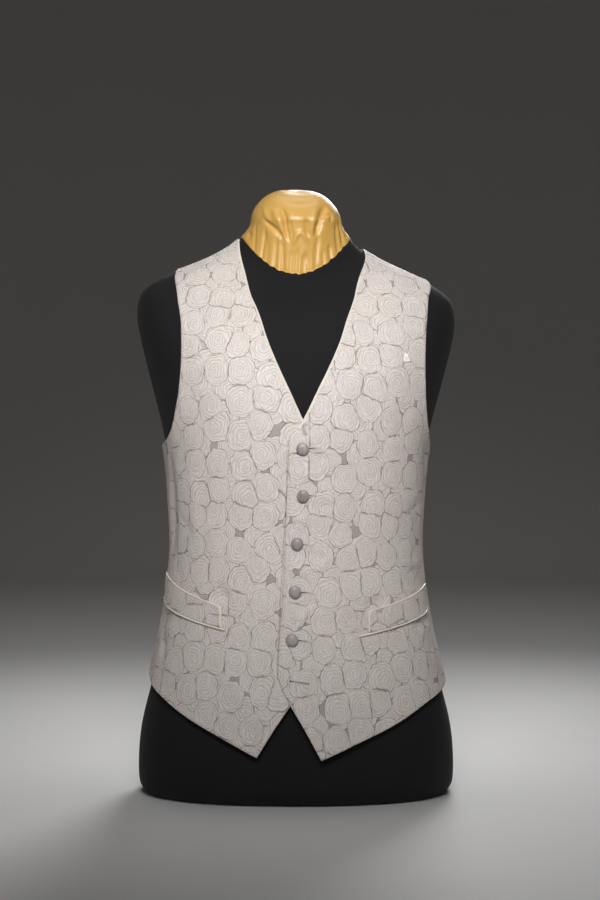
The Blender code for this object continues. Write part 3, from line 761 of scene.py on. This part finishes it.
backFolds = {
    1: [
        ([(.015, .195), (.06, .205), (.11, .200), (.15, .215)], .010, -.0030),
        ([(.02, .222), (.07, .232), (.12, .226)], .009, .0019),
        ([(.03, .252), (.08, .262), (.13, .250)], .011, -.0025),
        ([(.14, .41), (.115, .37), (.10, .32), (.095, .27)], .012, -.0029),
        ([(.125, .43), (.10, .40), (.075, .35)], .010, .0019),
        ([(.04, .60), (.045, .54), (.04, .47)], .013, -.0017),
        ([(.155, .35), (.15, .30), (.152, .25)], .007, -.0027),
        ([(.10, .60), (.085, .56), (.08, .50)], .012, .0017),
        ([(.05, .165), (.055, .185), (.05, .205)], .007, .0015),
    ],
    -1: [
        ([(-.018, .205), (-.065, .196), (-.115, .204), (-.152, .19)], .010, -.0029),
        ([(-.03, .236), (-.08, .226), (-.13, .235)], .010, .0021),
        ([(-.022, .268), (-.07, .258), (-.12, .27)], .009, -.0023),
        ([(-.142, .40), (-.12, .36), (-.10, .31), (-.098, .28)], .011, -.0030),
        ([(-.12, .44), (-.095, .40), (-.08, .36)], .011, .0017),
        ([(-.035, .59), (-.04, .53), (-.035, .45)], .013, -.0015),
        ([(-.156, .34), (-.152, .29), (-.15, .24)], .0075, -.0025),
        ([(-.105, .59), (-.09, .55), (-.082, .49)], .011, .0019),
        ([(-.08, .16), (-.075, .18), (-.08, .20)], .008, -.0015),
    ],
}
# the cloth is drawn in beside each button and bulges between them
buttonFolds = [
    ([(309, 455), (318, 459), (330, 458)], .0058, -.0013),
    ([(296, 436), (306, 438), (318, 435)], .0056, .0008),
    ([(310, 501), (319, 506), (334, 507)], .0062, -.0012),
    ([(292, 476), (303, 474), (316, 478)], .0066, .0011),
    ([(304, 550), (315, 556), (327, 560)], .0060, -.0014),
    ([(290, 522), (301, 519), (315, 524)], .0068, .0012),
    ([(302, 599), (311, 604), (326, 603)], .0056, -.0013),
    ([(289, 572), (299, 569), (314, 575)], .0070, .0014),
    ([(299, 646), (309, 652), (321, 655)], .0060, -.0012),
    ([(287, 618), (297, 616), (310, 622)], .0068, .0012),
]
frontFolds[1] += buttonFolds

# plain ground under the point of the neckline
bareSpot = {"line": [(302, 423), (305, 434)], "width": .0040, "narrow": .35, "wider": .75, "soft": .7}


def markBare(piece, spot):
    path = [onSurface(surfaceOf(piece), place, "photo")[0] for place in spot["line"]]
    points = readArrays(piece.data)[0]
    gap, share = nearPath(points, path)
    half = spot["width"] * (spot["narrow"] + spot["wider"] * share)
    mark = piece.data.attributes.new("bare", "FLOAT", "POINT")
    mark.data.foreach_set("value", 1 - smoothStep(gap, half * spot["soft"], half))


closingEdge = {"from": (288.5, 436), "to": (278.0, 690), "beside": (-2.2, -.9, .4)}


# close rows of points beside the line where the over front ends, so that the cloth can dip there
def cutAlong(bm, edge):
    eye = Vector(cameraLook["place"])
    for step in edge["beside"]:
        rays = []
        for place in (edge["from"], edge["to"]):
            across = (place[0] + step - photoMiddle[0]) * metresPerPixel
            rays.append(Vector((across, -eye.y, (photoMiddle[1] - place[1]) * metresPerPixel)))
        bmesh.ops.bisect_plane(bm, geom=list(bm.verts) + list(bm.edges) + list(bm.faces), dist=1e-5,
                               plane_co=eye, plane_no=rays[0].cross(rays[1]).normalized())


def makePanel(name, nodeName, materials, folds, seen, neighbours, cut=None):
    bm = outerShell(nodeName, panelLook["rimWidth"])
    if cut:
        cutAlong(bm, cut)
    for face in bindEdge(bm, edgeLook["band"]):
        # the band along the neckline takes the lighter cream satin: a painted highlight on the turned edge
        centre = face.calc_center_median()
        if seen == "photo" and centre.z > neckline["above"] and abs(centre.x) < neckline["within"]:
            face.material_index = 1
    panel = makeObject(name, bm)
    flat, area = unwrapCloth(panel)
    panel.data.uv_layers.active.name = "flat"
    subdivide(panel, panelLook["levels"])
    foldCloth(panel, [{"seen": seen, **foldOf(*fold)} for fold in folds])
    rollEdges(panel, edgeLook, neighbours)
    for material in materials:
        panel.data.materials.append(material)
    return panel, flat, area


for side, sideName in sides.items():
    front, flat, area = makePanel("front_" + sideName + "_cloth", "front_" + sideName,
                                  [brocade[side], facingAndEdgeHighlight], frontFolds[side], "photo",
                                  ["back_left", "back_right"], closingEdge if side == -1 else None)
    if side == 1:
        markBare(front, bareSpot)
    thicken(front, panelLook["wall"], 1)
    finishPiece(front, ["front_" + sideName])
    back, flat, area = makePanel("back_" + sideName + "_cloth", "back_" + sideName,
                                 [backSatin, ivorySatin], backFolds[side], "back",
                                 ["back_" + sides[-side], "front_left", "front_right"])
    thicken(back, panelLook["wall"], 1)
    finishPiece(back, ["back_" + sideName])
print("cloth panels ready")


def smoothCopy(nodeName, name, levels, sharpAbove=50, longest=1):
    bm = mergedCopy(nodeName)
    joinQuads(bm)
    crease = bm.edges.layers.float.new("crease_edge")
    for edge in bm.edges:
        bend = edge.calc_face_angle(0) if len(edge.link_faces) == 2 else 0
        if bend > math.radians(sharpAbove) and edge.calc_length() < longest:
            edge[crease] = 1
    piece = makeObject(name, bm)
    subdivide(piece, levels)
    return piece


def dress(piece, material, nodeName):
    piece.data.materials.append(material)
    finishPiece(piece, [nodeName])


pipingLook = {"levels": 2, "fuller": .00035, "ring": .0012}


# the pocket's satin piping, a little fuller than its core
def makeCord(nodeName, look):
    cord = smoothCopy(nodeName, nodeName + "_cord", look["levels"], 20, look["ring"])
    points, normals = readArrays(cord.data)
    writePoints(cord.data, points + normals * look["fuller"])
    dress(cord, pipingSatin, nodeName)


weltLook = {"rimWidth": .0018, "band": .0012, "levels": 3, "wall": .0015}
weltEdge = {**edgeLook, "drop": .0006, "round": .0014, "ridge": 0, "puckerHeight": 0}


def makeWelt(side, sideName):
    bm = outerShell("welt_" + sideName, weltLook["rimWidth"])
    bindEdge(bm, weltLook["band"])
    welt = makeObject("welt_" + sideName + "_cloth", bm)
    flat, area = unwrapCloth(welt)
    welt.data.uv_layers.active.name = "flat"
    subdivide(welt, weltLook["levels"])
    rollEdges(welt, weltEdge)
    welt.data.materials.append(brocade[side])
    thicken(welt, weltLook["wall"])
    finishPiece(welt, ["welt_" + sideName])


for side, sideName in sides.items():
    makeWelt(side, sideName)
    for place in ("upper", "lower"):
        makeCord("piping_" + place + "_" + sideName, pipingLook)

buttonLook = {
    "pleats": 13, "pleatHeight": .00026, "levels": 3, "rim": (.0048, .0072), "top": (.002, .006),
    "turnEach": 1.3,                       # so that no two buttons pull alike
}


# cloth drawn over a dome: small pleats run in under the rim
def makeButton(number, look):
    nodeName = "button_%d" % number
    flatFaces = mergedCopy(nodeName)
    back = max(flatFaces.faces, key=lambda face: face.normal.y + .001 * face.calc_area())
    axis = -back.normal.copy()
    flatFaces.free()
    button = smoothCopy(nodeName, nodeName + "_cover", look["levels"])
    low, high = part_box(nodeName)
    centre = (low + high) / 2
    across = axis.cross(Vector((0, 0, 1))).normalized()
    up = across.cross(axis)
    points, normals = readArrays(button.data)
    x = (points - np.array(centre)) @ np.array(across)
    y = (points - np.array(centre)) @ np.array(up)
    radius = np.hypot(x, y)
    turn = np.arctan2(y, x)
    rim = smoothStep(radius, *look["rim"])
    pleat = np.abs(np.sin(turn * look["pleats"] / 2 + number)) * rim
    slack = np.sin(turn * 2 + number * look["turnEach"]) * smoothStep(radius, *look["top"])
    rise = (pleat - .5 * rim + .5 * slack) * look["pleatHeight"]
    writePoints(button.data, points + normals * rise[:, None])
    dress(button, buttonSatin, nodeName)


for number in range(1, 6):
    makeButton(number, buttonLook)

dress(smoothCopy("form_torso", "torso_cover", 2), jersey, "form_torso")

neckLook = {
    "gathers": 36, "rise": (.020, .050), "depth": (.0010, .0024), "width": (.0022, .0036),
    "lower": .004, "slope": .0150, "slopeAt": .051,
    "power": 2.9, "from": (.688, .746), "drawIn": .03, "drawnFrom": (.03, .055),
    "unevenTurn": .3, "lean": 5, "bow": .4, "fade": .35,
}
neckFolds = [
    ([(279, 206), (284, 215), (286, 230), (291, 243)], .0030, -.0042),
    ([(262, 217), (270, 225), (278, 232), (285, 241)], .0030, -.0032),
    ([(327, 205), (322, 214), (319, 225), (314, 239)], .0044, -.0048),
    ([(306, 216), (307, 228), (308, 240)], .0030, -.0022),
    ([(292, 248), (297, 235), (303, 234), (309, 247)], .0026, .0022),
    ([(333, 203), (331, 215), (328, 226)], .0022, -.0020),
    ([(290, 218), (291, 230), (294, 240)], .0026, -.0014),
    ([(272, 207), (279, 222), (287, 240)], .0042, .0020),
    ([(315, 208), (314, 222), (311, 238)], .0042, .0020),
    ([(264, 206), (266, 216), (272, 226)], .0034, .0014),
    ([(282, 200), (300, 204), (318, 201)], .0040, -.0012),
]


# where the neck meets the torso, going round
def seamHeight(surface, turn, lowest=.630, step=.001):
    direction = Vector((math.sin(math.radians(turn)), -math.cos(math.radians(turn)), 0))
    height = lowest
    while surface.ray_cast(Vector((0, 0, height)) + direction * outside, -direction)[0] is None:
        height += step
    return height


# satin over a low dome, gathered into the seam below
def makeNeck(look):
    neck = smoothCopy("form_neck", "neck_cover", 3, 80)
    points = readArrays(neck.data)[0]
    low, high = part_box("form_neck")
    middle = np.array(((low.x + high.x) / 2, (low.y + high.y) / 2))
    across = points[:, :2] - middle
    radius = np.hypot(across[:, 0], across[:, 1])
    upper = smoothStep(points[:, 2], *look["from"])
    points[:, 2] -= upper * (look["lower"] + look["slope"] * (radius / look["slopeAt"]) ** look["power"])
    points[:, :2] -= across * (look["drawIn"] * upper * smoothStep(radius, *look["drawnFrom"]))[:, None]
    writePoints(neck.data, points)
    surface = surfaceOf(neck)
    folds = [foldOf(*fold) for fold in neckFolds]
    for k in range(look["gathers"]):
        turn = 360 / look["gathers"] * (k + random.uniform(-look["unevenTurn"], look["unevenTurn"]))
        foot = seamHeight(surface, turn) + .001
        top = foot + random.uniform(*look["rise"])
        lean = random.uniform(-look["lean"], look["lean"])
        line = [(turn, foot), (turn + lean * look["bow"], (foot + top) / 2), (turn + lean, top)]
        folds.append({"line": line, "seen": "round", "fade": look["fade"], "open": True,
                      "width": random.uniform(*look["width"]), "height": -random.uniform(*look["depth"])})
    foldCloth(neck, folds)
    dress(neck, goldSatin, "form_neck")


makeNeck(neckLook)
print("form and buttons ready")


# worked buttonholes, each from its button to the right; the last one is open
holeLook = {
    "thread": .00032, "stitch": .0017, "spacing": .00062, "lift": .00022,
    "open": .00130, "taper": .7, "slitLift": .00006, "unevenStitch": .10,
    "bead": .00042, "beadLength": .62, "beadLift": 1.3,
    "fan": range(-80, 81, 20),             # degrees, the stitches round the far end
    "narrow": .46, "eyelet": .62, "eyeletAt": .04, "eyeletWidth": .06,      # the open hole, as shares
}
holeEnds = [
    ((300, 449), (321, 448)),
    ((300, 496), (316.5, 495.5)),
    ((294, 544), (311, 545.5)),
    ((292, 592), (313.5, 593)),
    ((289, 639), (310, 642)),
    ((289.5, 681), (309.5, 684)),
]


def makeHole(name, ends, buttoned, look, surface):
    start = onSurface(surface, ends[0], "photo")[0]
    end, lastNormal = onSurface(surface, ends[1], "photo")
    run = end - start
    count = int(run.length / look["spacing"])
    bm = bmesh.new()

    def bead(place, normal, along, size):
        out = normal.cross(along).normalized()
        turned = Matrix((along.normalized() * size[0], out * size[1], normal * size[2])).transposed().to_4x4()
        bmesh.ops.create_uvsphere(bm, u_segments=6, v_segments=5, radius=1,
                                  matrix=Matrix.Translation(place) @ turned)

    def gapAt(share):
        if buttoned:                                    # spread by the button, closed at the far end
            return look["open"] * (1 - share) ** look["taper"]
        eyelet = math.exp(-((share - look["eyeletAt"]) / look["eyeletWidth"]) ** 2)
        return look["open"] * (look["narrow"] + look["eyelet"] * eyelet)

    places = {1: [], -1: []}
    for k in range(count + 1):
        share = k / count
        for way in (1, -1):
            place = start + run * share
            normal = surface.find_nearest(place)[1]
            across = normal.cross(run).normalized() * way
            edge, normal = surface.find_nearest(place + across * gapAt(share))[:2]
            places[way].append(edge)
            lift = normal * look["lift"]
            bead(edge + lift * look["beadLift"], normal, run,
                 (look["spacing"] * look["beadLength"], look["bead"], look["bead"]))
            length = look["stitch"] * (1 + look["unevenStitch"] * math.sin(k * 2.1 + way))
            bead(edge + across * length * .5 + lift * .5, normal, across,
                 (length * .5, look["thread"], look["thread"]))
    for turn in look["fan"]:
        way = math.radians(turn)
        along = run.normalized() * math.cos(way) + lastNormal.cross(run).normalized() * math.sin(way)
        bead(end + along * look["stitch"] * .5 + lastNormal * look["lift"] * .5, lastNormal, along,
             (look["stitch"] * .5, look["thread"], look["thread"]))
    thread = makeObject(name, bm)
    thread.data.materials.append(silkThread)
    # a dark sheet laid on the cloth between the lips: painted shade where the opened slit would be in shadow
    slit = bmesh.new()
    rows = {}
    for way in (1, -1):
        rows[way] = [slit.verts.new(place + surface.find_nearest(place)[1] * look["slitLift"])
                     for place in places[way]]
    for k in range(count):
        slit.faces.new((rows[-1][k], rows[-1][k + 1], rows[1][k + 1], rows[1][k]))
    slit.normal_update()
    if sum((face.normal for face in slit.faces), Vector()).y > 0:
        bmesh.ops.reverse_faces(slit, faces=slit.faces)
    slitShadeSheet = makeObject(name + "_slit_shade", slit)
    slitShadeSheet.data.materials.append(slitShade)
    for piece in (thread, slitShadeSheet):
        finishPiece(piece, [])


frontSurface = surfaceOf(bpy.data.objects["front_left_cloth"])
for number, ends in enumerate(holeEnds, 1):
    makeHole("buttonhole_%d" % number, ends, number < len(holeEnds), holeLook, frontSurface)
print("buttonholes ready")


# camera at the photograph's angle, floor with a backdrop that curves up, and soft studio light

def makeCamera(look):
    data = bpy.data.cameras.new("camera")
    camera = bpy.data.objects.new("camera", data)
    bpy.context.scene.collection.objects.link(camera)
    data.lens = look["lens"]
    data.sensor_width = look["sensor"]
    camera.location = look["place"]
    camera.rotation_euler = (math.radians(90), 0, 0)
    bpy.context.scene.camera = camera


floorLook = {"reach": 3.6, "bend": 1.8, "height": 5.5, "steps": 72, "bendSteps": 12,
             "colours": ((.74, .735, .73, 1), (.77, .765, .76, 1))}


# a round floor that curves up into a wall all round
def makeFloor(look):
    bm = bmesh.new()
    line = [(0, 0), (1, 0), (2, 0), (look["reach"], 0)]
    for k in range(1, look["bendSteps"] + 1):
        turn = math.radians(90 * k / look["bendSteps"])
        line.append((look["reach"] + look["bend"] * math.sin(turn), look["bend"] * (1 - math.cos(turn))))
    line.append((look["reach"] + look["bend"], look["height"]))
    verts = [bm.verts.new((x, 0, z)) for x, z in line]
    edges = [bm.edges.new(pair) for pair in zip(verts, verts[1:])]
    bmesh.ops.spin(bm, geom=verts + edges, cent=(0, 0, 0), axis=(0, 0, 1), angle=2 * math.pi,
                   steps=look["steps"], use_merge=True, dvec=(0, 0, 0))
    bmesh.ops.remove_doubles(bm, verts=bm.verts, dist=1e-5)
    bmesh.ops.recalc_face_normals(bm, faces=bm.faces)
    if sum(face.normal.z for face in bm.faces) < 0:
        bmesh.ops.reverse_faces(bm, faces=bm.faces)
    floor = makeObject("floor", bm)
    material, tree, shader = newMaterial("paleFloor", Roughness=.75)
    where = put(tree, "ShaderNodeTexCoord").outputs["Object"]
    tree.links.new(mixColour(tree, noiseAt(tree, where, 3, 3), *look["colours"]), shader.inputs["Base Color"])
    floor.data.materials.append(material)


lights = {
    "key": {"place": (-.02, -1.40, 1.20), "aim": (0, 0, .52), "size": .70, "power": 2.0, "spread": 44},
    "fill": {"place": (.1, -2.6, .8), "aim": (0, 0, .40), "size": 1.0, "power": .9, "spread": 120},
    "top": {"place": (.1, .5, 2.6), "aim": (0, .4, 0), "size": 1.6, "power": 9, "spread": 170},
    "back": {"place": (.45, 2.0, 1.7), "aim": (0, .1, .42), "size": 1.0, "power": 5, "spread": 70},
}
worldLook = {"colour": (.93, .87, .84, 1), "strength": .05}


def makeLights():
    for name, look in lights.items():
        data = bpy.data.lights.new(name, "AREA")
        data.shape = "DISK"
        data.size = look["size"]
        data.energy = look["power"]
        data.spread = math.radians(look["spread"])
        lamp = bpy.data.objects.new(name, data)
        bpy.context.scene.collection.objects.link(lamp)
        lamp.location = look["place"]
        lamp.visible_camera = False
        lamp.rotation_euler = (Vector(look["aim"]) - lamp.location).to_track_quat("-Z", "Y").to_euler()
    world = bpy.data.worlds.new("studio")
    world.use_nodes = True
    background = world.node_tree.nodes["Background"]
    background.inputs["Color"].default_value = worldLook["colour"]
    background.inputs["Strength"].default_value = worldLook["strength"]
    bpy.context.scene.world = world


makeCamera(cameraLook)
makeFloor(floorLook)
makeLights()
bpy.context.scene.view_settings.view_transform = "Standard"
print("studio ready")
